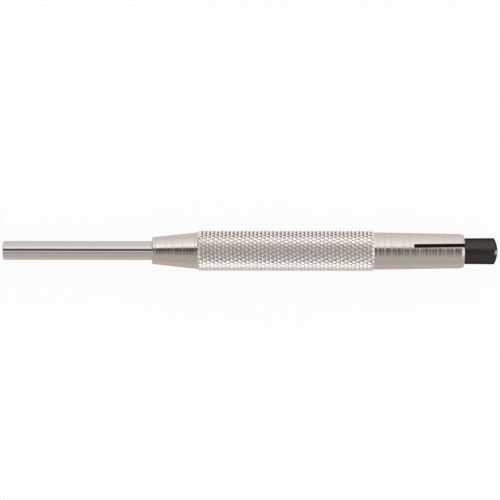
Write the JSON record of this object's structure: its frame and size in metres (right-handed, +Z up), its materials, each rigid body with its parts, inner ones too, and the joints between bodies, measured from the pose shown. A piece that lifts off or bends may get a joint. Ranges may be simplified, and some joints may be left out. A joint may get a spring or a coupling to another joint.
{
  "type": "pin punch",
  "caption": "Parallel pin punch with a knurled barrel and a sprung guide sleeve that slides back as the punch drives a pin out.",
  "frame": {"origin": "centre of the punch's working face at rest, on the tool's axis", "axes": "+X along the tool towards the striking head, +Z up through one of the tail's two slots"},
  "size_m": [0.15, 0.0122, 0.0122],
  "materials": {
    "plated_barrel": "turned and nickel plated, satin",
    "polished_sleeve": "ground and polished",
    "turned_collar": "turned, bare",
    "spring_wire": "drawn spring wire, oiled",
    "hardened_pin": "hardened and ground",
    "blackened_head": "black oxide, satin"
  },
  "bodies": {
    "barrel": {"barrel": "plated_barrel", "return_spring": "spring_wire"},
    "guide": {"guide_sleeve": "polished_sleeve", "stop_collar": "turned_collar"},
    "punch": {"punch_pin": "hardened_pin", "striking_head": "blackened_head"}
  },
  "joints": [
    {"name": "sleeve_slide", "type": "slide", "parent": "barrel", "child": "guide", "axis": [1, 0, 0], "range_m": [0, 0.04], "stiffness_N_per_m": 245, "springref_m": -0.008, "deforming": ["return_spring"]},
    {"name": "punch_slide", "type": "slide", "parent": "barrel", "child": "punch", "axis": [1, 0, 0], "range_m": [0, 0.142]}
  ]
}
